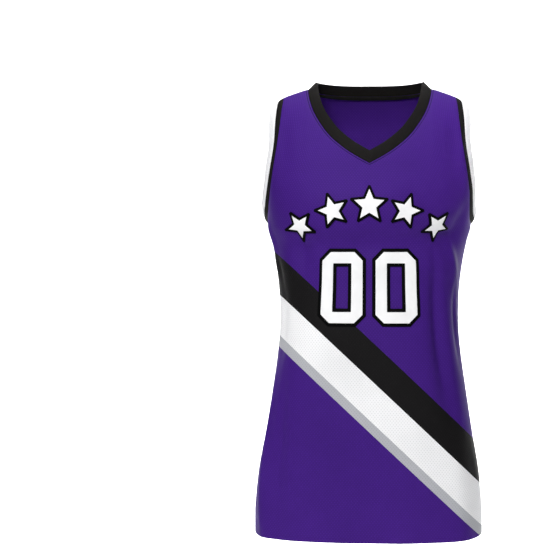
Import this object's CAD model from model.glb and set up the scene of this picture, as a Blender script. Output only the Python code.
import bpy
import bmesh
import math
import numpy as np
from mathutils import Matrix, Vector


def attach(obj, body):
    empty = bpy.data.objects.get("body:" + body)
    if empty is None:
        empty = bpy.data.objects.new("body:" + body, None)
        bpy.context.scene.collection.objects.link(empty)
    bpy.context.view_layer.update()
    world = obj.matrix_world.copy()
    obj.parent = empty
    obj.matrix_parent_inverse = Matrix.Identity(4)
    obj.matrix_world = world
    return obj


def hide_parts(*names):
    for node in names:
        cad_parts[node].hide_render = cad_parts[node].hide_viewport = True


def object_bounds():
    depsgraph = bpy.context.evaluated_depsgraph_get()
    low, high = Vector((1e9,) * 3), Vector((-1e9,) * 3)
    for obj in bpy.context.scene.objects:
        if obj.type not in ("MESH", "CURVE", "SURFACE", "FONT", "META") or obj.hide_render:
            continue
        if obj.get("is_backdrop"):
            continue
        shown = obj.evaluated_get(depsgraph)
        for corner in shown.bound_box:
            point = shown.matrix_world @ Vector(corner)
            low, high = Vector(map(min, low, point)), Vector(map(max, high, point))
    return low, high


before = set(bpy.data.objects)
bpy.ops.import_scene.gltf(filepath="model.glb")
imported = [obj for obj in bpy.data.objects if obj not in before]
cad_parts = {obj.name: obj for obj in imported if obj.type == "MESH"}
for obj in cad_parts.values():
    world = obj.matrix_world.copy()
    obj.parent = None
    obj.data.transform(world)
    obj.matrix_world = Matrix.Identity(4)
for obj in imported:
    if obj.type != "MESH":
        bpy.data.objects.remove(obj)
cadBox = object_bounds()
scene = bpy.context.scene
scene.view_settings.view_transform = "Standard"
print("packed jersey loaded:", len(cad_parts), "nodes")

# sizes of the cut, in millimetres
cut = {
    "hemZ": -680.0, "hemDip": 3.5, "hemTilt": 1.5, "underarmZ": -209.0, "joinZ": -186.0,
    "neckX": 95.0, "tipX": 132.0, "shoulderFall": math.tan(math.radians(18.7)),
    "seamGap": 0.3, "quarterGirth": 225.0,
}
cut["tipZ"] = -(cut["tipX"] - cut["neckX"]) * cut["shoulderFall"]

# half width at the side seams, depth forward and back, squareness of the section, from the hem up
bodySections = {
    "z": [-680, -643, -583, -526, -458, -385, -326, -271, -230, -209, -170, -115, -60, 0, 30],
    "side": [175.3, 175.2, 169.4, 159.3, 148.5, 138.7, 137.2, 142.3, 150.5] + [156.4] * 6,
    "front": [106, 107, 109, 110, 110, 110, 112, 117, 120, 120, 116, 98, 79, 64, 60],
    "back": [106, 107, 106, 103, 97, 92, 91, 96, 102, 105, 109, 107, 96, 79, 74],
    "round": [3.4, 3.35, 3.2, 3.05, 2.9, 2.8, 2.75, 2.7, 2.6, 2.55, 2.5, 2.4, 2.3, 2.25, 2.25],
}
armholeEdge = {
    "z": [-209, -190, -171, -133, -96, -57, cut["tipZ"]],
    "x": [156.4, 154.4, 152.3, 147.2, 141.8, 136.7, 132],
}
armholeEgg = {"front": 62, "back": 58, "fullness": 0.22}
neckSeam = {
    "front": {"i": list(range(9)), "x": [0, 20.1, 38.7, 59, 73.7, 84.8, 91.2, 94.3, 95],
              "z": [-115.9, -104.7, -92.4, -75, -56, -37, -19, -5, 0]},
    "back": {"i": list(range(8)), "x": [0, 25, 50, 70, 83, 90, 93.8, 95],
             "z": [-7, -6.9, -6.3, -4.9, -3.2, -1.8, -0.7, 0]},
}
shoulderRound = {"front": 120.0, "back": 90.0}
crestRise = {"front": 0.0, "back": 25.0}
facing = {"front": -1.0, "back": 1.0}
weave = {"half": 56, "yoke": 44, "neck": 32, "bodyRows": 84, "yokeRows": 44}  # divisions of each panel
yokeBlend = {"from": 0.25, "over": 0.45, "rounds": 14}


def tableValue(table, along, column, at):
    # smooth curve through the rows of a table
    xs, ys = np.asarray(table[along], float), np.asarray(table[column], float)
    at = np.clip(np.asarray(at, float), xs[0], xs[-1])
    slope = np.empty_like(ys)
    slope[1:-1] = (ys[2:] - ys[:-2]) / (xs[2:] - xs[:-2])
    slope[0], slope[-1] = (ys[1] - ys[0]) / (xs[1] - xs[0]), (ys[-1] - ys[-2]) / (xs[-1] - xs[-2])
    i = np.clip(np.searchsorted(xs, at, side="right") - 1, 0, len(xs) - 2)
    span = xs[i + 1] - xs[i]
    t = (at - xs[i]) / span
    return (ys[i] * (1 + 2 * t) * (1 - t) ** 2 + ys[i + 1] * t * t * (3 - 2 * t)
            + slope[i] * span * t * (1 - t) ** 2 + slope[i + 1] * span * t * t * (t - 1))


def crestHeight(face, x):
    # crest line of the shoulders, with the rise that the back has at the neck
    reach = np.abs(x) / cut["neckX"]
    return np.where(reach < 1, crestRise[face] * (1 - reach ** 2),
                    -(np.abs(x) - cut["neckX"]) * cut["shoulderFall"])


def dropOf(face, length):
    r = shoulderRound[face]
    return np.where(length > r * np.pi / 2, r + length - r * np.pi / 2, r * (1 - np.cos(length / r)))


def lengthOf(face, drop):
    r = shoulderRound[face]
    curved = r * np.arccos(np.clip(1 - np.maximum(drop, 0) / r, -1, 1))
    return np.where(drop > r, r * np.pi / 2 + drop - r, curved)


def roundingAt(face, drop):
    left = 1 - np.clip(np.maximum(drop, 0) / shoulderRound[face], 0, 1)
    return np.sqrt(1 - left ** 2)


def armholePoint(face, angle):
    z = cut["underarmZ"] + (cut["tipZ"] - cut["underarmZ"]) * (1 - np.cos(angle)) / 2
    depth = armholeEgg[face] * np.sin(angle) * (1 + armholeEgg["fullness"] * np.cos(angle))
    return tableValue(armholeEdge, "z", "x", z), z, depth


def armholeAngle(z):
    height = (z - cut["underarmZ"]) / (cut["tipZ"] - cut["underarmZ"])
    return np.minimum(np.arccos(1 - 2 * np.clip(height, 0, 1)), np.pi - 0.02)


def sectionAt(face, z):
    squareness = tableValue(bodySections, "z", "round", z)
    depth = tableValue(bodySections, "z", face, z)
    low = np.minimum(z, cut["tipZ"])
    x, seamZ, seamDepth = armholePoint(face, armholeAngle(low))
    rounding = roundingAt(face, crestHeight(face, x) - seamZ)
    share = seamDepth / (tableValue(bodySections, "z", face, seamZ) * np.maximum(rounding, 1e-6))
    share = np.where(low <= cut["underarmZ"], 0, share)
    edge = tableValue(armholeEdge, "z", "x", low) / (1 - share ** squareness) ** (1 / squareness)
    half = np.where(z <= cut["underarmZ"], tableValue(bodySections, "z", "side", z), edge)
    return half, depth, squareness


def sectionPoint(face, section, share, rounding, z):
    half, depth, squareness = section
    angle = np.abs(share) * np.pi / 2
    across, along = np.sin(angle), np.maximum(np.cos(angle), 0)
    scale = (across ** squareness + along ** squareness) ** (-1 / squareness)
    x = np.sign(share) * half * across * scale
    y = facing[face] * (depth * rounding * along * scale + cut["seamGap"] / 2)
    return np.stack([x, y, z + 0 * x], -1)


def shareAt(face, x, z):
    half, _, squareness = sectionAt(face, z)
    across = np.minimum(np.abs(x) / half, 1)
    along = (1 - across ** squareness) ** (1 / squareness)
    return np.arctan2(across, along) * 2 / np.pi


def bodyPoint(face, share, z):
    return sectionPoint(face, sectionAt(face, z), share, 1.0, z)


def yokePoint(face, share, length):
    drop = dropOf(face, length)
    z = -drop
    for _ in range(yokeBlend["rounds"]):
        point = sectionPoint(face, sectionAt(face, z), share, roundingAt(face, drop), z)
        z = crestHeight(face, point[..., 0]) - drop
    point[..., 2] = z
    return point


def unit(v):
    return v / np.maximum(np.linalg.norm(v, axis=-1, keepdims=True), 1e-9)


# soft folds of the cloth: a trough has a minus depth, a ridge a plus one, and girth counts millimetres round
# the body from the middle of the front, plus to the viewer's right
softFolds = [
    {"girth": (-174, -184), "z": (-186, -296), "width": 9, "depth": 4.2},     # fullness below the armhole
    {"girth": (-112, -98), "z": (-192, -312), "width": 17, "depth": -7.2},
    {"girth": (-196, -150), "z": (-206, -330), "width": 8, "depth": -2.5},
    {"girth": (126, 172), "z": (-196, -336), "width": 13, "depth": 3.6},      # the same at the right, softer
    {"girth": (150, 134), "z": (-160, -262), "width": 19, "depth": -5.0},
    {"girth": (104, 116), "z": (-222, -540), "width": 13, "depth": -9.5},     # long fold down the right flank
    {"girth": (158, 164), "z": (-276, -436), "width": 9, "depth": -3.6},
    {"girth": (-150, -154), "z": (-300, -430), "width": 12, "depth": -3.3},
    {"girth": (-205, 210), "z": (-246, -224), "width": 28, "depth": -13.5},   # hollow below the chest
    {"girth": (30, 208), "z": (-238, -222), "width": 27, "depth": -9.0},
    {"girth": (-200, 215), "z": (-286, -282), "width": 50, "depth": -11.0},
    {"girth": (-110, 126), "z": (-176, -160), "width": 26, "depth": 3.0},
    {"girth": (-170, -128), "z": (-396, -740), "width": 10, "depth": 5.0},    # rolled edge down the left side
    {"girth": (-132, -100), "z": (-420, -720), "width": 13, "depth": -6.0},
    {"girth": (112, 106), "z": (-500, -760), "width": 17, "depth": 2.2},      # flare of the hem
    {"girth": (142, 138), "z": (-520, -740), "width": 15, "depth": -1.8},
    {"girth": (-62, -80), "z": (-500, -820), "width": 25, "depth": -2.7},
    {"girth": (30, 50), "z": (-560, -840), "width": 23, "depth": 2.5},
    {"girth": (96, 118), "z": (-34, -158), "width": 12, "depth": -3.3},       # straps to armholes
    {"girth": (-92, -124), "z": (-30, -146), "width": 12, "depth": -3.0},
    {"girth": (40, 96), "z": (-150, -196), "width": 16, "depth": -2.2},
    {"girth": (330, 452), "z": (-352, -336), "width": 12, "depth": -6.0},     # small of the back
    {"girth": (578, 446), "z": (-368, -342), "width": 14, "depth": -5.1},
    {"girth": (296, 424), "z": (-388, -370), "width": 12, "depth": 3.6},
    {"girth": (600, 500), "z": (-402, -384), "width": 13, "depth": 2.8},
    {"girth": (262, 314), "z": (-190, -306), "width": 11, "depth": -6.0},
    {"girth": (638, 586), "z": (-186, -294), "width": 12, "depth": -5.4},
    {"girth": (350, 336), "z": (-460, -800), "width": 17, "depth": -4.8},
    {"girth": (566, 574), "z": (-440, -820), "width": 19, "depth": -4.3},
    {"girth": (470, 452), "z": (-500, -840), "width": 27, "depth": 3.3},
    {"girth": (364, 316), "z": (-30, -124), "width": 13, "depth": -3.4},
    {"girth": (536, 590), "z": (-34, -134), "width": 12, "depth": -3.2},
]
foldShape = {"taper": 1.3, "startWidth": 0.75, "widening": 0.5}
# the cloth's slight unevenness in two sizes, and how far the side seams draw it in
unevenness = {
    "broad": 0.35, "broadGirth": 41, "broadZ": 57, "fine": 0.25, "fineGirth": 23, "fineZ": 71, "fadeIn": 60,
}
sideSeam = {"depth": 0.6, "width": 5, "above": 8}


def foldHeight(face, share, z):
    quarter = cut["quarterGirth"]
    girth = share * quarter
    if face == "back":
        girth = np.where(share < 0, -1, 1) * (2 - np.abs(share)) * quarter
    u = unevenness
    broad = u["broad"] * np.sin(girth / u["broadGirth"] + 0.7) * np.sin(z / u["broadZ"] + 0.3)
    height = broad + u["fine"] * np.sin(girth / u["fineGirth"] - z / u["fineZ"])
    height = height * np.sin(np.clip(-z / u["fadeIn"], 0, np.pi / 2))
    for fold in softFolds:
        g0, g1 = fold["girth"]
        z0, z1 = fold["z"]
        away = (girth - g0 + 2 * quarter) % (4 * quarter) - 2 * quarter
        alongX, alongZ = g1 - g0, z1 - z0
        reach = math.hypot(alongX, alongZ)
        t = (away * alongX + (z - z0) * alongZ) / reach ** 2
        off = (away * alongZ - (z - z0) * alongX) / reach
        taper = np.sin(np.clip(t, 0, 1) * np.pi) ** foldShape["taper"]
        width = fold["width"] * (foldShape["startWidth"] + foldShape["widening"] * np.clip(t, 0, 1))
        height = height + fold["depth"] * np.exp(-(off / width) ** 2) * taper
    pull = np.exp(-((np.abs(share) - 1) * quarter / sideSeam["width"]) ** 2)
    return height - sideSeam["depth"] * pull * (z < cut["underarmZ"] + sideSeam["above"])


def clothPoint(face, place, share, down):
    # the form with its folds: place is bodyPoint, by height, or yokePoint, by length from the crest
    low = place(face, share, down)
    nudge = 0.004  # of a quarter of the girth
    right, left = np.clip(share + nudge, -1, 1), np.clip(share - nudge, -1, 1)
    across = place(face, right, down) - place(face, left, down)
    if place is bodyPoint:
        above, below = down + 1.0, down - 1.0
    else:
        above, below = np.maximum(down - 1.0, 0), np.maximum(down + 1.0, 0)
    rise = place(face, share, above) - place(face, share, below)
    normal = unit(np.cross(across, rise)) * -facing[face]
    return low + normal * foldHeight(face, share, low[..., 2])[..., None], normal


def surfaceFrame(face, x, z):
    # outside of the cloth at a place seen from the front or back
    def base(x, z):
        half, depth, squareness = sectionAt(face, z)
        rounding = roundingAt(face, crestHeight(face, x) - z)
        along = (1 - np.minimum(np.abs(x) / half, 1) ** squareness) ** (1 / squareness)
        return np.stack([x, facing[face] * (depth * rounding * along + cut["seamGap"] / 2), z], -1)
    normal = unit(np.cross(base(x + 1, z) - base(x - 1, z), base(x, z + 1) - base(x, z - 1)))
    normal = normal * -facing[face]
    share = np.sign(x) * shareAt(face, x, z)
    return base(x, z) + normal * foldHeight(face, share, z)[..., None], normal


def seamCoords(face, angle):
    x, z = armholePoint(face, angle)[:2]
    return shareAt(face, x, z), lengthOf(face, crestHeight(face, x) - z), z


def topCoords(face, column):
    table = neckSeam[face]
    at = np.clip(column / weave["neck"], 0, 1) * table["i"][-1]
    neckX, neckZ = tableValue(table, "i", "x", at), tableValue(table, "i", "z", at)
    past = (column - weave["neck"]) / (weave["yoke"] - weave["neck"])
    strapX = cut["neckX"] + (cut["tipX"] - cut["neckX"]) * past
    x = np.where(past > 0, strapX, neckX)
    z = np.where(past > 0, crestHeight(face, strapX), neckZ)
    return x, shareAt(face, x, z), lengthOf(face, crestHeight(face, x) - z) * (past < 0)


def panelGrid(face):
    half, yoke = weave["half"], weave["yoke"]
    bodyRows, yokeRows = weave["bodyRows"], weave["yokeRows"]
    columns = np.arange(-half, half + 1)
    from0 = np.abs(columns).astype(float)
    side = np.where(columns < 0, -1.0, 1.0)
    joinAngle = armholeAngle(cut["joinZ"])
    corner = seamCoords(face, joinAngle)[0]
    beyond = np.clip((from0 - yoke) / (half - yoke), 0, 1)
    seamShare, _, seamZ = seamCoords(face, joinAngle * (1 - beyond))
    joinShare = np.where(from0 <= yoke, corner * from0 / yoke, seamShare)
    joinZ = np.where(from0 <= yoke, cut["joinZ"], seamZ)

    up = np.linspace(0, 1, bodyRows + 1)[:, None]
    share = (from0 / half * (1 - up) + joinShare * up) * side
    hem = cut["hemZ"] - cut["hemDip"] * (1 - (from0 / half) ** 2) + cut["hemTilt"] * columns / half
    z = hem + (joinZ - hem) * up
    body, bodyNormal = clothPoint(face, bodyPoint, share, z + 0 * share)

    # the yoke is blended from its four edges: join, armhole, top and middle
    v = np.linspace(0, 1, yokeRows + 1)[1:, None]
    u = np.clip(from0 / yoke, 0, 1)
    atJoin = bodyPoint(face, corner * u, cut["joinZ"])[..., 0]
    topX, topShare, topLength = topCoords(face, np.minimum(from0, yoke))
    armAngle = joinAngle + (np.pi - 1e-4 - joinAngle) * v
    outerShare, outerLength = seamCoords(face, armAngle)[:2]
    edges = {
        "share": (corner * u, topShare, outerShare),
        "length": (lengthOf(face, crestHeight(face, atJoin) - cut["joinZ"]), topLength, outerLength),
        "x": (atJoin, topX, armholePoint(face, armAngle)[0]),
    }
    coords = {}
    for key, (b, t, o) in edges.items():
        b0, b1, t0, t1 = b[half], b[half + yoke], t[half], t[half + yoke]
        across = (1 - v) * b + v * t
        along = (1 - u) * (b0 + (t0 - b0) * v) + u * o
        coords[key] = across + along - (1 - v) * ((1 - u) * b0 + u * b1) - v * ((1 - u) * t0 + u * t1)
    # low down the columns keep their share of the section, and near the collar their x, so that none cross
    length = np.maximum(coords["length"], 0)
    low = yokePoint(face, coords["share"], length)
    blend = np.clip((v - yokeBlend["from"]) / yokeBlend["over"], 0, 1)
    blend = blend * blend * (3 - 2 * blend)
    x = low[..., 0] * (1 - blend) + coords["x"] * blend
    z = crestHeight(face, x) - dropOf(face, length)
    share = np.where(blend > 0, shareAt(face, x, z), coords["share"])
    crown, crownNormal = clothPoint(face, yokePoint, share * side, length)
    points, normals = np.concatenate([body, crown]), np.concatenate([bodyNormal, crownNormal])
    missing = np.zeros(points.shape[:2], bool)
    missing[bodyRows + 1:, :] = from0 > yoke
    return points, normals, missing


def joinSeams(front, back):
    # both panels take the same place and direction along the side and shoulder seams
    half, yoke, neck, bodyRows = weave["half"], weave["yoke"], weave["neck"], weave["bodyRows"]
    places = [(j, half + s * half) for j in range(bodyRows + 1) for s in (-1, 1)]
    places += [(-1, half + s * c) for c in range(neck, yoke + 1) for s in (-1, 1)]
    for j, i in places:
        middle = (front["points"][j, i] + back["points"][j, i]) / 2
        normal = unit(front["normals"][j, i] + back["normals"][j, i])
        middle[1], normal[1] = 0, 0
        for panel, step in ((front, -1), (back, 1)):
            panel["points"][j, i] = middle + np.array([0, step * cut["seamGap"] / 2, 0])
            panel["normals"][j, i] = unit(normal)


panels = {}
for face in ("front", "back"):
    points, normals, missing = panelGrid(face)
    panels[face] = {"points": points, "normals": normals, "missing": missing}
joinSeams(panels["front"], panels["back"])
print("cloth form worked out")


farAway = 1000.0      # seam distance of cloth that has no seam near
narrowest = 10.01     # least width that a cut states, in millimetres


def runLength(points):
    steps = np.linalg.norm(np.diff(points, axis=0), axis=-1)
    return np.concatenate([[0.0], np.cumsum(steps)])


def finishPiece(name, bm, material, thickness=0.0, edge=0.0):
    mesh = bpy.data.meshes.new(name)
    bm.to_mesh(mesh)
    bm.free()
    mesh.polygons.foreach_set("use_smooth", [True] * len(mesh.polygons))
    mesh.materials.append(material)
    piece = bpy.data.objects.new(name, mesh)
    scene.collection.objects.link(piece)
    if thickness:
        wall = piece.modifiers.new("wall", "SOLIDIFY")
        wall.thickness, wall.offset, wall.use_even_offset = thickness * 0.001, -1.0, True
    if edge:
        rim = piece.modifiers.new("rim", "BEVEL")
        rim.width, rim.segments, rim.limit_method = edge * 0.001, 2, "ANGLE"
        rim.angle_limit = math.radians(50)
    return piece


def clothFromGrid(name, points, uv, material, look, missing=None, flip=False, closed=False, toSeam=None):
    # points run by row and column in millimetres; a closed strip repeats its first column at the end
    rows, columns = points.shape[:2]
    bm = bmesh.new()
    uvLayer = bm.loops.layers.uv.new("clothMm")
    seamLayer = bm.verts.layers.float.new("seamDistance")
    bmesh.ops.create_grid(bm, x_segments=columns - 1, y_segments=rows - 1, size=0.5)
    place = {}
    for vert in bm.verts:
        place[vert] = (round((vert.co.y + 0.5) * (rows - 1)), round((vert.co.x + 0.5) * (columns - 1)))
        vert[seamLayer] = farAway if toSeam is None else toSeam[place[vert]]
    for polygon in bm.faces:
        for loop in polygon.loops:
            loop[uvLayer].uv = uv[place[loop.vert]]
    for vert in bm.verts:
        vert.co = points[place[vert]] * 0.001
    if missing is not None:
        gone = [vert for vert in bm.verts if missing[place[vert]]]
        bmesh.ops.delete(bm, geom=gone, context="VERTS")
    if closed:
        bmesh.ops.remove_doubles(bm, verts=bm.verts[:], dist=1e-6)
    if flip:
        bmesh.ops.reverse_faces(bm, faces=bm.faces[:])
    return finishPiece(name, bm, material, look["wall"], look["edge"])


def declareCloth(piece, node, width, length, area):
    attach(piece, "root")
    if node:
        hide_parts(node)
    # a narrower strip states that least width with its own area
    flat = (width * 0.001, max(length, narrowest) * 0.001)


def gridArea(points, missing=None):
    a = points[1:, :-1] - points[:-1, :-1]
    b = points[:-1, 1:] - points[:-1, :-1]
    cell = np.linalg.norm(np.cross(a, b), axis=-1)
    if missing is not None:
        cell = cell * ~(missing[1:, :-1] | missing[1:, 1:] | missing[:-1, 1:] | missing[:-1, :-1])
    return float(cell.sum())


def hexColour(value):
    channels = [int(value[i:i + 2], 16) / 255 for i in (1, 3, 5)]
    return [c / 12.92 if c <= 0.04045 else ((c + 0.055) / 1.055) ** 2.4 for c in channels] + [1.0]


def addNode(tree, kind, inputs=None, **settings):
    node = tree.nodes.new(kind)
    for key, value in settings.items():
        setattr(node, key, value)
    for key, value in (inputs or {}).items():
        if isinstance(value, bpy.types.NodeSocket):
            tree.links.new(value, node.inputs[key])
        else:
            node.inputs[key].default_value = value
    return node


def newMaterial(name, look):
    material = bpy.data.materials.new(name)
    material.use_nodes = True
    shader = material.node_tree.nodes["Principled BSDF"]
    shader.inputs["Roughness"].default_value = look["roughness"]
    shader.inputs["Specular IOR Level"].default_value = look["specular"]
    return material, material.node_tree, shader


def output(tree, kind, socket, inputs=None, **settings):
    return addNode(tree, kind, inputs, **settings).outputs[socket]


def cloudTone(tree, place, scale, low, high):
    # soft noise between two shades
    cloudy = output(tree, "ShaderNodeTexNoise", "Fac", {"Vector": place, "Scale": scale, "Detail": 3.0})
    return output(tree, "ShaderNodeMapRange", "Result",
                  {"Value": cloudy, "From Min": 0.3, "From Max": 0.7, "To Min": low, "To Max": high})


def shadeBase(tree, shader, base, tone):
    shaded = output(tree, "ShaderNodeVectorMath", 0, {0: base, "Scale": tone}, operation="SCALE")
    tree.links.new(shaded, shader.inputs["Base Color"])


def bumpFrom(tree, shader, height, look):
    inputs = {"Height": height, "Strength": look["bump"], "Distance": look["bumpMm"] * 0.001}
    tree.links.new(output(tree, "ShaderNodeBump", "Normal", inputs), shader.inputs["Normal"])


def waveScale(pitch):
    # the wave texture repeats every tenth of pi at a scale of 1
    return math.pi / 10 / pitch


# the stripe runs down to the viewer's right; its edges are heights over the floor of a slanting plane
stripe = {
    "slant": (0.937, 0.12, 1.0), "edges": [-528.3, -510.0, -448.1, -389.9], "margin": 20,
    "colours": ["purple", "grey", "white", "black", "purple"],
}
microMesh = {
    "purple": "#3F1C7A", "black": "#161516", "white": "#FAFAFB", "grey": "#B8B9BE",
    "roughness": 0.62, "specular": 0.08, "bump": 0.35, "bumpMm": 0.5,
    "holeAcross": 4.6, "holeUp": 5.6, "holeRadius": 1.15, "holeShade": 0.82, "holeGlow": 1.28,
    "loopPitch": 2.961, "loopRelief": 0.25, "stitch": (1.8, 3.2), "stitchDepth": 0.75, "thread": "#12062E",
}


def meshHoles(tree):
    # eyelets of the knit in two staggered rows, from the cloth's own millimetres; real ones are a little
    # finer, and these are as coarse as they must be to show at this distance
    size = (microMesh["holeAcross"], microMesh["holeUp"], 1.0)
    cloth = output(tree, "ShaderNodeUVMap", "UV", uv_map="clothMm")
    cells = output(tree, "ShaderNodeVectorMath", 0, {0: cloth, 1: size}, operation="DIVIDE")
    distances = []
    for shift in (0.0, 0.5):
        moved = output(tree, "ShaderNodeVectorMath", 0, {0: cells, 1: (shift, shift, 0)}, operation="ADD")
        inCell = output(tree, "ShaderNodeVectorMath", 0, {0: moved}, operation="FRACTION")
        centred = output(tree, "ShaderNodeVectorMath", 0, {0: inCell, 1: (0.5, 0.5, 0)}, operation="SUBTRACT")
        flat = {0: centred, 1: (size[0], size[1], 0)}
        inMm = output(tree, "ShaderNodeVectorMath", 0, flat, operation="MULTIPLY")
        distances.append(output(tree, "ShaderNodeVectorMath", "Value", {0: inMm}, operation="LENGTH"))
    nearest = output(tree, "ShaderNodeMath", 0, {0: distances[0], 1: distances[1]}, operation="MINIMUM")
    rim = {"Value": nearest, "From Min": microMesh["holeRadius"] * 0.45, "From Max": microMesh["holeRadius"],
           "To Min": 1.0, "To Max": 0.0}
    return cloth, output(tree, "ShaderNodeMapRange", "Result", rim, interpolation_type="SMOOTHSTEP")


def stripeColour(tree, place):
    # the colour of the stripe, by height over its slanting plane
    slanting = {0: place, 1: stripe["slant"]}
    level = output(tree, "ShaderNodeVectorMath", "Value", slanting, operation="DOT_PRODUCT")
    low, high = stripe["edges"][0] - stripe["margin"], stripe["edges"][-1] + stripe["margin"]
    span = {"Value": level, "From Min": low * 0.001, "From Max": high * 0.001}
    ramp = addNode(tree, "ShaderNodeValToRGB", {0: output(tree, "ShaderNodeMapRange", "Result", span)})
    ramp.color_ramp.interpolation = "CONSTANT"
    for i, (edge, colour) in enumerate(zip([low] + stripe["edges"], stripe["colours"])):
        stop = ramp.color_ramp.elements[i] if i < 2 else ramp.color_ramp.elements.new(1)
        stop.position, stop.color = (edge - low) / (high - low), hexColour(microMesh[colour])
    return ramp.outputs["Color"]


def microMeshKnit(name, withStripe):
    # polyester micro-mesh, warp knitted: smooth and dull, dotted all over with small eyelets
    material, tree, shader = newMaterial(name, microMesh)
    cloth, hole = meshHoles(tree)
    place = output(tree, "ShaderNodeTexCoord", "Object")
    base, eyelet = hexColour(microMesh["purple"])[:3], microMesh["holeGlow"]
    if withStripe:
        base = stripeColour(tree, place)
        # eyelets look dark in the white yarn, while in the dark yarns their lit rims show
        pale = output(tree, "ShaderNodeRGBToBW", 0, {0: base})
        glow = {"Value": pale, "From Min": 0.05, "From Max": 0.4,
                "To Min": microMesh["holeGlow"], "To Max": microMesh["holeShade"]}
        eyelet = output(tree, "ShaderNodeMapRange", "Result", glow)
    shade = cloudTone(tree, place, 9.0, 0.94, 1.06)
    dotted = output(tree, "ShaderNodeMapRange", "Result", {"Value": hole, "To Min": 1.0, "To Max": eyelet})
    both = output(tree, "ShaderNodeMath", 0, {0: shade, 1: dotted}, operation="MULTIPLY")
    tone = output(tree, "ShaderNodeVectorMath", 0, {0: base, "Scale": both}, operation="SCALE")
    # topstitch beside the collar, a thin dark line of sunk thread
    seam = output(tree, "ShaderNodeAttribute", "Fac", attribute_name="seamDistance")
    low, high = microMesh["stitch"]
    band = {0: seam, 1: (low + high) / 2, 2: (high - low) / 2}
    line = output(tree, "ShaderNodeMath", 0, band, operation="COMPARE")
    amount = output(tree, "ShaderNodeMath", 0, {0: line, 1: microMesh["stitchDepth"]}, operation="MULTIPLY")
    sewn = {0: amount, 1: tone, 2: hexColour(microMesh["thread"])}
    tree.links.new(output(tree, "ShaderNodeMixRGB", 0, sewn), shader.inputs["Base Color"])
    wave = {"Vector": cloth, "Scale": waveScale(microMesh["loopPitch"]), "Distortion": 1.2, "Detail": 1.0}
    loops = output(tree, "ShaderNodeTexWave", "Fac", wave, bands_direction="X")
    relief = output(tree, "ShaderNodeMath", 0, {0: hole, 1: -1.0, 2: 1.0}, operation="MULTIPLY_ADD")
    knit = {0: loops, 1: microMesh["loopRelief"], 2: relief}
    bumpFrom(tree, shader, output(tree, "ShaderNodeMath", 0, knit, operation="MULTIPLY_ADD"), microMesh)
    return material


flatKnit = {
    "ribPitch": 2.4, "black": "#151312", "white": "#FAFAFB", "grey": "#1F1E1D",
    "roughness": 0.75, "specular": 0.12, "bump": 0.3, "bumpMm": 0.3,
}


def flatKnitTrim(name, colour):
    # double-layer flat polyester knit, sewn on as a band: dull, with fine ribs across it
    material, tree, shader = newMaterial(name, flatKnit)
    cloth = output(tree, "ShaderNodeUVMap", "UV", uv_map="clothMm")
    place = output(tree, "ShaderNodeTexCoord", "Object")
    wave = {"Vector": cloth, "Scale": waveScale(flatKnit["ribPitch"]), "Distortion": 0.6}
    ribs = output(tree, "ShaderNodeTexWave", "Fac", wave, bands_direction="X")
    fuzz = output(tree, "ShaderNodeTexNoise", "Fac", {"Vector": place, "Scale": 900.0, "Detail": 2.0})
    fuzzSpan = {"Value": fuzz, "From Min": 0.3, "From Max": 0.7, "To Min": 0.9, "To Max": 1.1}
    fuzzTone = output(tree, "ShaderNodeMapRange", "Result", fuzzSpan)
    ribTone = output(tree, "ShaderNodeMapRange", "Result", {"Value": ribs, "To Min": 0.9, "To Max": 1.0})
    both = output(tree, "ShaderNodeMath", 0, {0: fuzzTone, 1: ribTone}, operation="MULTIPLY")
    shadeBase(tree, shader, hexColour(colour)[:3], both)
    relief = output(tree, "ShaderNodeMath", 0, {0: fuzz, 1: 0.4, 2: ribs}, operation="MULTIPLY_ADD")
    bumpFrom(tree, shader, relief, flatKnit)
    return material


twill = {
    "ribPitch": 1.8, "black": "#040405", "white": "#FCFCFC",
    "roughness": 0.65, "specular": 0.05, "bump": 0.2, "bumpMm": 0.2,
}


def tackleTwill(name, colour):
    # tackle twill, a tight polyester weave sewn on: flat, clean edged, with faint diagonal ribs
    material, tree, shader = newMaterial(name, twill)
    place = output(tree, "ShaderNodeTexCoord", "Object")
    turned = output(tree, "ShaderNodeMapping", 0, {"Vector": place, "Rotation": (0, math.radians(45), 0)})
    wave = {"Vector": turned, "Scale": waveScale(twill["ribPitch"] * 0.001)}
    ribs = output(tree, "ShaderNodeTexWave", "Fac", wave, bands_direction="X")
    shadeBase(tree, shader, hexColour(colour)[:3], cloudTone(tree, place, 40.0, 0.96, 1.04))
    bumpFrom(tree, shader, ribs, twill)
    return material


stripedMesh = microMeshKnit("polyester micro-mesh, purple with stripe", True)
purpleMesh = microMeshKnit("polyester micro-mesh, purple", False)
blackKnit = flatKnitTrim("flat knit trim, black", flatKnit["black"])
whiteKnit = flatKnitTrim("flat knit trim, white", flatKnit["white"])
greyTape = flatKnitTrim("woven neck tape, dark grey", flatKnit["grey"])
blackTwill = tackleTwill("tackle twill, black", twill["black"])
whiteTwill = tackleTwill("tackle twill, white", twill["white"])
print("materials made")

panelLook = {"wall": 1.5, "edge": 0.35, "seamPull": 0.7, "pullReach": 4.5}


def distanceToLine(points, line):
    # shortest way from each point to a run of line points, in millimetres
    best = np.full(points.shape[:-1], farAway)
    for a, b in zip(line[:-1], line[1:]):
        step = b - a
        t = np.clip(((points - a) @ step) / max(step @ step, 1e-9), 0, 1)
        best = np.minimum(best, np.linalg.norm(points - a - t[..., None] * step, axis=-1))
    return best


def armholeLine(panel, side):
    half, yoke, bodyRows = weave["half"], weave["yoke"], weave["bodyRows"]
    low = [(bodyRows, half + side * c) for c in range(half, yoke, -1)]
    high = [(j, half + side * yoke) for j in range(bodyRows, bodyRows + weave["yokeRows"] + 1)]
    places = low + high
    return np.array([panel["points"][p] for p in places]), np.array([panel["normals"][p] for p in places])


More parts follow.
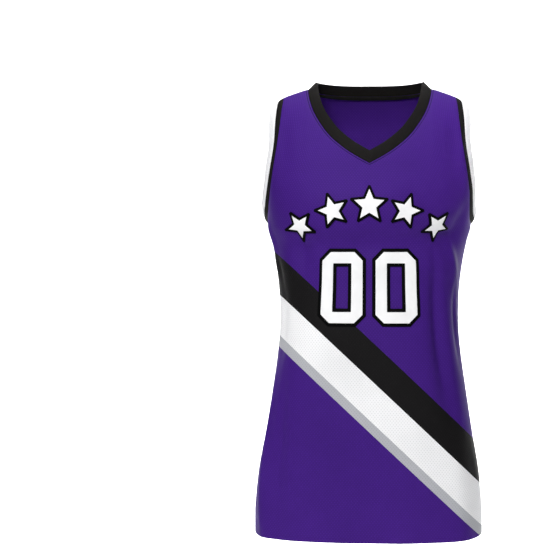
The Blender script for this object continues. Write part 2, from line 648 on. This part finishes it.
def neckLine(panel):
    span = slice(weave["half"] - weave["neck"], weave["half"] + weave["neck"] + 1)
    return panel["points"][-1, span].copy(), panel["normals"][-1, span].copy()


for face, material in (("front", stripedMesh), ("back", purpleMesh)):
    panel = panels[face]
    points, normals = panel["points"], panel["normals"]
    # sewing draws the cloth in a little beside the collar and the armholes
    toNeck = distanceToLine(points, neckLine(panel)[0])
    toArms = [distanceToLine(points, armholeLine(panel, side)[0]) for side in (1, -1)]
    pull = np.exp(-(np.minimum(toNeck, np.minimum(*toArms)) / panelLook["pullReach"]) ** 2)
    points -= normals * (panelLook["seamPull"] * pull)[..., None]
    half = weave["half"]
    uv = np.zeros(points.shape[:2] + (2,))
    steps = np.linalg.norm(np.diff(points, axis=1), axis=-1)
    run = np.concatenate([np.zeros((len(points), 1)), np.cumsum(steps, axis=1)], axis=1)
    uv[..., 0] = run - run[:, half:half + 1]
    rise = np.linalg.norm(np.diff(points, axis=0), axis=-1)
    uv[..., 1] = np.concatenate([np.zeros((1, points.shape[1])), np.cumsum(rise, axis=0)])
    piece = clothFromGrid(f"{face}Cloth", points, uv, material, panelLook,
                          missing=panel["missing"], flip=face == "back", toSeam=toNeck)
    area = gridArea(points, panel["missing"])
    width = float((uv[:weave["bodyRows"], -1, 0] - uv[:weave["bodyRows"], 0, 0]).max())
    length = float(uv[-1, half + weave["neck"], 1])
    declareCloth(piece, f"{face}_panel", width, length, min(area, width * length))
    print(face, "panel: flat width", round(width), "length", round(length), "area", round(area))


# trims of the armholes, as strips along the armhole loop; the wearer's shoulder bends them outwards
armholeTrim = {
    "black": 9.8, "white": 14.0, "wall": 1.6, "edge": 0.5, "crown": 0.45, "steps": 5, "middleZ": -4.0,
    "up": [-1, -0.5, 0, 0.6, 1],
    "blackOut": [0.7, 0.56, 0.66, 0.85, 1.6],
    "whiteOut": [0.3, 0.42, 0.66, 0.8, 1.1],
}


def seamLoop(first, second):
    # closed loop from one panel's seam line and the other's, which meet at both ends
    joined = []
    for one, other in zip(first, second):
        ends = [(one[i] + other[i]) / 2 for i in (0, -1)]
        joined.append(np.concatenate([[ends[0]], one[1:-1], [ends[1]], other[-2:0:-1]]))
    return joined[0], unit(joined[1])


def loopTangents(points):
    return unit(unit(np.roll(points, -1, axis=0) - points) + unit(points - np.roll(points, 1, axis=0)))


def stripCloth(name, rows, material, look, flip):
    # a closed strip with rows from the seam to the free edge, U along the seam and V across
    points = np.stack([np.concatenate([row, row[:1]]) for row in rows])
    uv = np.zeros(points.shape[:2] + (2,))
    uv[..., 0] = runLength(points[0])
    steps = np.linalg.norm(np.diff(points, axis=0), axis=-1).mean(axis=1)
    uv[..., 1] = np.concatenate([[0.0], np.cumsum(steps)])[:, None]
    piece = clothFromGrid(name, points, uv, material, look, flip=flip, closed=True)
    length = max(runLength(points[0])[-1], runLength(points[-1])[-1])
    return piece, length, float(uv[-1, 0, 1]), gridArea(points)


def crownRows(foot, along, normal, width, look):
    # rows across a band, a little rounded; the width is one for all or one for each point
    rows = []
    width = np.atleast_1d(width)[:, None]
    for t in np.linspace(0, 1, look["steps"] + 1):
        bulge = look["crown"] * (1 - (2 * t - 1) ** 2)
        rows.append(foot + along * (width * t) + normal * bulge)
    return rows


for side, end in ((-1, "left"), (1, "right")):
    loop, loopNormals = seamLoop(armholeLine(panels["front"], side), armholeLine(panels["back"], side))
    tangents = loopTangents(loop)
    middle = np.array([0, 0, (cut["underarmZ"] + cut["tipZ"]) / 2 + armholeTrim["middleZ"]])
    inward = middle - loop
    inward[:, 0] = 0
    inward = unit(inward)
    ways = {}
    for colour in ("black", "white"):
        out = tableValue(armholeTrim, "up", colour + "Out", -inward[:, 2])
        along = unit(inward + np.array([side, 0, 0]) * out[:, None])
        along = unit(along - tangents * (along * tangents).sum(-1, keepdims=True))
        ways[colour] = (along, unit(np.cross(tangents, along)) * -side)
    seamward = unit(np.cross(tangents, loopNormals))
    seamward = seamward * np.sign((seamward * ways["black"][0]).sum(-1, keepdims=True))
    foot = loop + seamward * cut["seamGap"]
    for colour, material in (("black", blackKnit), ("white", whiteKnit)):
        along, normal = ways[colour]
        rows = crownRows(foot, along, normal, armholeTrim[colour], armholeTrim)
        name = f"{colour}ArmholeTrim{end.title()}"
        piece, length, width, area = stripCloth(name, rows, material, armholeTrim, side > 0)
        area = min(area, length * width)
        declareCloth(piece, f"armhole_band_{colour}_{end}", length, width, area)
        foot = rows[-1] + along * cut["seamGap"]
print("armhole trims made")

# collar: flat knit that stands a little at the neck, mitred at the tip of the V
collar = {
    "wall": 2.2, "edge": 0.6, "crown": 0.5, "steps": 6, "mitre": 0.6, "mitreReach": 2.2,
    "tipReach": 20, "tipStep": 0.03,
    "turn": [-1, -0.5, 0, 0.5, 1], "width": [17.5, 17, 16.5, 17.5, 18], "lift": [4, 8, 20, 14, 12],
}
loop, loopNormals = seamLoop(neckLine(panels["front"]), neckLine(panels["back"]))
tangents = loopTangents(loop)
reach = np.abs(loop[:, 0]) / cut["neckX"]
turn = np.where(loop[:, 1] < 0, reach - 1, 1 - reach)
lift = np.radians(tableValue(collar, "turn", "lift", turn))[:, None]
seamward = unit(np.cross(loopNormals, tangents))
along = seamward * np.cos(lift) + loopNormals * np.sin(lift)
stand = loopNormals * np.cos(lift) - seamward * np.sin(lift)
width = tableValue(collar, "turn", "width", turn)
rows = crownRows(loop + seamward * cut["seamGap"], along, stand, width, collar)
inFront = loop[:, 1] < 0
atTip = inFront * np.exp(-(loop[:, 0] / collar["mitreReach"]) ** 2)
rows = [row - stand * (collar["mitre"] * atTip)[:, None] for row in rows]
# the two sides of the band meet at the tip's mitre and go no further
tip = int(np.argmin(np.abs(loop[:, 0]) + 1000 * ~inFront))
rise = loop[tip + 1] - loop[tip]
for row in rows[1:]:
    row[tip] = rows[0][tip] + (row[tip] - rows[0][tip]) * math.hypot(1, rise[2] / rise[0])
    past = inFront & (np.abs(loop[:, 0]) < collar["tipReach"]) & (row[:, 0] * loop[:, 0] < 0)
    row[past] = row[tip] + (loop[past] - loop[tip]) * collar["tipStep"]
piece, length, breadth, area = stripCloth("collar", rows, blackKnit, collar, False)
declareCloth(piece, "neck_band", length, breadth, min(area, length * breadth))

# tape over the collar seam, inside the back; it hangs over the nearest rows of the panel
neckTape = {"wall": 1.0, "edge": 0.25, "height": 7.6, "above": 1.4, "off": 1.1, "rows": 4, "panelRows": 9}
span = slice(weave["half"] - weave["neck"], weave["half"] + weave["neck"] + 1)
inside = panels["back"]["points"][-neckTape["panelRows"]:, span][::-1]
inwards = panels["back"]["normals"][-neckTape["panelRows"]:, span][::-1]
inside = inside - inwards * (panelLook["wall"] + neckTape["off"])
above = inside[:1] + unit(inside[:1] - inside[1:2]) * neckTape["above"]
inside = np.concatenate([above, inside])
downs = np.linspace(0, neckTape["height"], neckTape["rows"])
points = np.empty((len(downs), inside.shape[1], 3))
for column in range(inside.shape[1]):
    run = runLength(inside[:, column])
    for axis in range(3):
        points[:, column, axis] = np.interp(downs, run, inside[:, column, axis])
uv = np.zeros(points.shape[:2] + (2,))
uv[..., 0] = runLength(points[0])
uv[..., 1] = -downs[:, None]
piece = clothFromGrid("neckTape", points, uv, greyTape, neckTape)
length = runLength(points[0])[-1]
declareCloth(piece, "neck_tape", length, neckTape["height"], gridArea(points))
print("collar and tape made")

# numerals: two layers of twill laid on the cloth, a zero with cut corners and a plain window
numerals = {
    "front": {"width": 72.2, "height": 114.4, "corner": 15.5, "windowWidth": 17.9, "windowHeight": 61.3,
              "border": 5.1, "pitch": 81.4, "z": -301},
    "back": {"width": 92, "height": 155, "corner": 20, "windowWidth": 25.5, "windowHeight": 87,
             "border": 5.4, "pitch": 106, "z": -252},
}
twillLayer = {
    "wall": 0.85, "edge": 0.25, "windowCorner": 0.8, "backingOff": 0.5, "faceOff": 1.75, "step": 7.0,
}


def cutRectangle(bm, width, height, corner):
    # rectangle with its corners cut, as an open loop of edges; the flat pattern lies in X and Z, millimetres
    made = bmesh.ops.create_grid(bm, x_segments=1, y_segments=1, size=0.5)["verts"]
    for vert in made:
        vert.co = (vert.co.x * width, 0, vert.co.y * height)
    bmesh.ops.bevel(bm, geom=made, offset=corner, offset_type="OFFSET", segments=1, profile=0.5,
                    affect="VERTICES", material=-1)


def slicePattern(bm, step):
    # even cuts both ways, so that the pattern can follow the cloth
    for axis, normal in ((0, (1, 0, 0)), (2, (0, 0, 1))):
        reach = max(abs(vert.co[axis]) for vert in bm.verts)
        for k in range(-int(reach // step), int(reach // step) + 1):
            at = [0.0, 0.0, 0.0]
            at[axis] = k * step + 0.01
            whole = bm.verts[:] + bm.edges[:] + bm.faces[:]
            bmesh.ops.bisect_plane(bm, geom=whole, dist=0.05, plane_co=at, plane_no=normal)


def layOnCloth(bm, face, centreX, centreZ, off, wall, turn=0.0):
    # thickens the flat pattern outwards and bends it over the folded cloth
    bmesh.ops.recalc_face_normals(bm, faces=bm.faces[:])
    made = bmesh.ops.extrude_face_region(bm, geom=bm.faces[:], use_keep_orig=True)["geom"]
    raised = {item for item in made if isinstance(item, bmesh.types.BMVert)}
    verts = bm.verts[:]
    x = np.array([v.co.x for v in verts])
    z = np.array([v.co.z for v in verts])
    high = np.array([off + wall if v in raised else off for v in verts])
    cosTurn, sinTurn = math.cos(turn), math.sin(turn)
    overX, overZ = centreX + x * cosTurn + z * sinTurn, centreZ - x * sinTurn + z * cosTurn
    place, normal = surfaceFrame(face, overX, overZ)
    for vert, co in zip(verts, (place + normal * high[:, None]) * 0.001):
        vert.co = co
    bmesh.ops.recalc_face_normals(bm, faces=bm.faces[:])


def zeroCloth(name, face, centreX, inset, off, material):
    size = numerals[face]
    width, height = size["width"] - 2 * inset, size["height"] - 2 * inset
    bm = bmesh.new()
    cutRectangle(bm, width, height, size["corner"] - inset * (2 - math.sqrt(2)))
    window = (size["windowWidth"] + 2 * inset, size["windowHeight"] + 2 * inset)
    cutRectangle(bm, window[0], window[1], twillLayer["windowCorner"])
    bmesh.ops.delete(bm, geom=bm.faces[:], context="FACES_ONLY")
    bmesh.ops.bridge_loops(bm, edges=bm.edges[:])
    slicePattern(bm, twillLayer["step"])
    area = sum(polygon.calc_area() for polygon in bm.faces)
    layOnCloth(bm, face, centreX, size["z"], off, twillLayer["wall"])
    return finishPiece(name, bm, material, edge=twillLayer["edge"]), width, height, area


def numeralLayer(face, side, end, layer):
    backing = layer == "backing"
    inset = 0.0 if backing else numerals[face]["border"]
    off = twillLayer["backingOff"] if backing else twillLayer["faceOff"]
    name = f"{face}Zero{end.title()}{layer.title()}"
    centreX = side * numerals[face]["pitch"] / 2
    made = zeroCloth(name, face, centreX, inset, off, blackTwill if backing else whiteTwill)
    piece, width, height, area = made
    node = f"{face}_numeral_{layer}_{end}"
    declareCloth(piece, node, width, height, area)
    return piece.name


for face in ("front", "back"):
    for side, end in ((-1, "left"), (1, "right")):
        below = numeralLayer(face, side, end, "backing")
        numeralLayer(face, side, end, "face")
print("numerals made")

# plain arched row of stars, cut from the same two twills
starRows = {
    "front": {"count": 5, "top": -179, "halfChord": 104, "sag": 31, "radius": 23.0, "shrink": 2.2},
    "back": {"count": 5, "top": -98, "halfChord": 102, "sag": 26, "radius": 21.5, "shrink": 2.0},
}
starCut = {"inner": 0.46, "border": 3.9, "tipCut": 4.0, "step": 8.0}


def starPattern(radius, tipCut):
    bm = bmesh.new()
    rim = bmesh.ops.create_circle(bm, cap_ends=True, segments=10, radius=radius)["verts"]
    tips = []
    for k, vert in enumerate(rim):
        angle = math.pi / 2 + k * math.pi / 5
        reach = radius if k % 2 == 0 else radius * starCut["inner"]
        vert.co = (reach * math.cos(angle), 0, reach * math.sin(angle))
        if k % 2 == 0:
            tips.append(vert)
    if tipCut:
        bmesh.ops.bevel(bm, geom=tips, offset=tipCut, offset_type="OFFSET", segments=1, profile=0.5,
                        affect="VERTICES", material=-1)
    bmesh.ops.poke(bm, faces=bm.faces[:])
    slicePattern(bm, starCut["step"])
    return bm


def starPieces(row, backing):
    # each star of the row with its place on the arch, as a flat pattern, and the angle it stands at
    arch = (row["halfChord"] ** 2 + row["sag"] ** 2) / (2 * row["sag"])  # radius of the arch
    reach = math.asin(row["halfChord"] / arch)
    inner = starCut["inner"]
    slope = math.sqrt(1 + inner ** 2 - 2 * inner * math.cos(math.pi / 5))
    for k in range(row["count"]):
        angle = reach * (2 * k / (row["count"] - 1) - 1)
        radius = row["radius"] - row["shrink"] * abs(k - (row["count"] - 1) / 2)
        if backing:
            apothem = radius * inner * math.sin(math.pi / 5) / slope
            one = starPattern(radius * (1 + starCut["border"] / apothem), starCut["tipCut"])
        else:
            one = starPattern(radius, 0.0)
        yield one, arch * math.sin(angle), row["top"] - arch * (1 - math.cos(angle)), angle


def starLayer(face, layer, below):
    backing = layer == "Backing"
    off = twillLayer["backingOff"] if backing else twillLayer["faceOff"]
    whole, area, width, height = bmesh.new(), 0.0, 0.0, 0.0
    for one, x, z, angle in starPieces(starRows[face], backing):
        area += sum(polygon.calc_area() for polygon in one.faces)
        width += 2 * max(vert.co.x for vert in one.verts)
        heights = [vert.co.z for vert in one.verts]
        height = max(height, max(heights) - min(heights))
        layOnCloth(one, face, x, z, off, twillLayer["wall"], angle)
        scrap = bpy.data.meshes.new("scrap")
        one.to_mesh(scrap)
        one.free()
        whole.from_mesh(scrap)
        bpy.data.meshes.remove(scrap)
    name = f"{face}Stars{layer}"
    piece = finishPiece(name, whole, blackTwill if backing else whiteTwill, edge=twillLayer["edge"])
    declareCloth(piece, None, width, height, area)
    return piece.name


for face in ("front", "back"):
    starLayer(face, "Face", starLayer(face, "Backing", f"{face}Cloth"))
print("stars made")

# camera at the photograph's angle, a plain sweep and a soft daylight studio
view = {"distance": 2.4, "z": -0.1708, "lens": 99.54, "down": 2.9577, "left": 3.297}
cameraData = bpy.data.cameras.new("camera")
cameraData.sensor_width, cameraData.lens = 36.0, view["lens"]
camera = bpy.data.objects.new("camera", cameraData)
camera.location = (0, -view["distance"], view["z"])
camera.rotation_euler = (math.radians(90 - view["down"]), 0, math.radians(view["left"]))
scene.collection.objects.link(camera)
scene.camera = camera

sweep = {
    "floorZ": -0.90, "wallY": 3.1, "bend": 0.7, "reach": 2.0, "front": -0.9, "top": 4.0, "steps": 24,
    "colour": (0.9, 0.9, 0.9), "roughness": 0.9, "specular": 0.1,
}


def makeSweep():
    # seamless white paper, a little uneven in tone
    material, tree, shader = newMaterial("white paper sweep", sweep)
    place = output(tree, "ShaderNodeTexCoord", "Object")
    grain = output(tree, "ShaderNodeTexNoise", "Fac", {"Vector": place, "Scale": 3.0, "Detail": 2.0})
    tone = output(tree, "ShaderNodeMapRange", "Result", {"Value": grain, "To Min": 0.985, "To Max": 1.0})
    shadeBase(tree, shader, sweep["colour"], tone)
    bm = bmesh.new()
    steps = sweep["steps"]
    bmesh.ops.create_grid(bm, x_segments=1, y_segments=steps, size=0.5)
    for vert in bm.verts:
        t = round((vert.co.y + 0.5) * steps)
        side = sweep["reach"] if vert.co.x > 0 else -sweep["reach"]
        if t == 0:
            y, z = sweep["front"], sweep["floorZ"]
        elif t == steps:
            y, z = sweep["wallY"], sweep["top"]
        else:
            angle = (t - 1) / (steps - 2) * math.pi / 2
            y = sweep["wallY"] - sweep["bend"] + sweep["bend"] * math.sin(angle)
            z = sweep["floorZ"] + sweep["bend"] * (1 - math.cos(angle))
        vert.co = (side, y, z)
    floor = finishPiece("sweep", bm, material)
    floor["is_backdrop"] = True


makeSweep()

# place, aim, size, spread in degrees and power of each lamp
lights = {
    "keyLight": ((-0.60, -2.45, 1.15), (0, 0, -0.3), 0.6, 180, 64.0),
    "fillLight": ((0.5, -2.8, 0.1), (0, 0, -0.4), 1.8, 180, 3.0),
    "neckLight": ((0, -2.2, -0.1), (0, 0, 0.02), 0.3, 12, 0.02),
    "rimLeft": ((-1.2, 1.5, 0.0), (0, 0, -0.4), 0.6, 180, 6.0),
    "rimRight": ((1.2, 1.4, 0.0), (0, 0, -0.4), 0.6, 180, 12.0),
    "trimLight": ((1.9, -0.9, 0.35), (0.18, 0, -0.08), 0.15, 12, 0.07),
    "sweepLight": ((0, 1.1, 2.7), (0, 2.3, -0.4), 2.0, 90, 130.0),
}
for name, (at, aim, size, spread, power) in lights.items():
    data = bpy.data.lights.new(name, "AREA")
    data.shape, data.size, data.energy = "DISK", size, power
    data.spread = math.radians(spread)
    lamp = bpy.data.objects.new(name, data)
    lamp.location = at
    towards = np.array(aim) - np.array(at)
    tilt = math.acos(-towards[2] / np.linalg.norm(towards))
    lamp.rotation_euler = (tilt, 0, math.atan2(towards[1], towards[0]) - math.pi / 2)
    scene.collection.objects.link(lamp)

air = {"colour": (0.93, 0.95, 1.0, 1.0), "strength": 0.12}
world = bpy.data.worlds.new("studio air")
scene.world = world
world.use_nodes = True
background = world.node_tree.nodes["Background"]
background.inputs["Color"].default_value = air["colour"]
background.inputs["Strength"].default_value = air["strength"]
print("camera and light set")

boxes = {"cad": cadBox, "visual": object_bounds()}
{name: [list(corner) for corner in box] for name, box in boxes.items()}
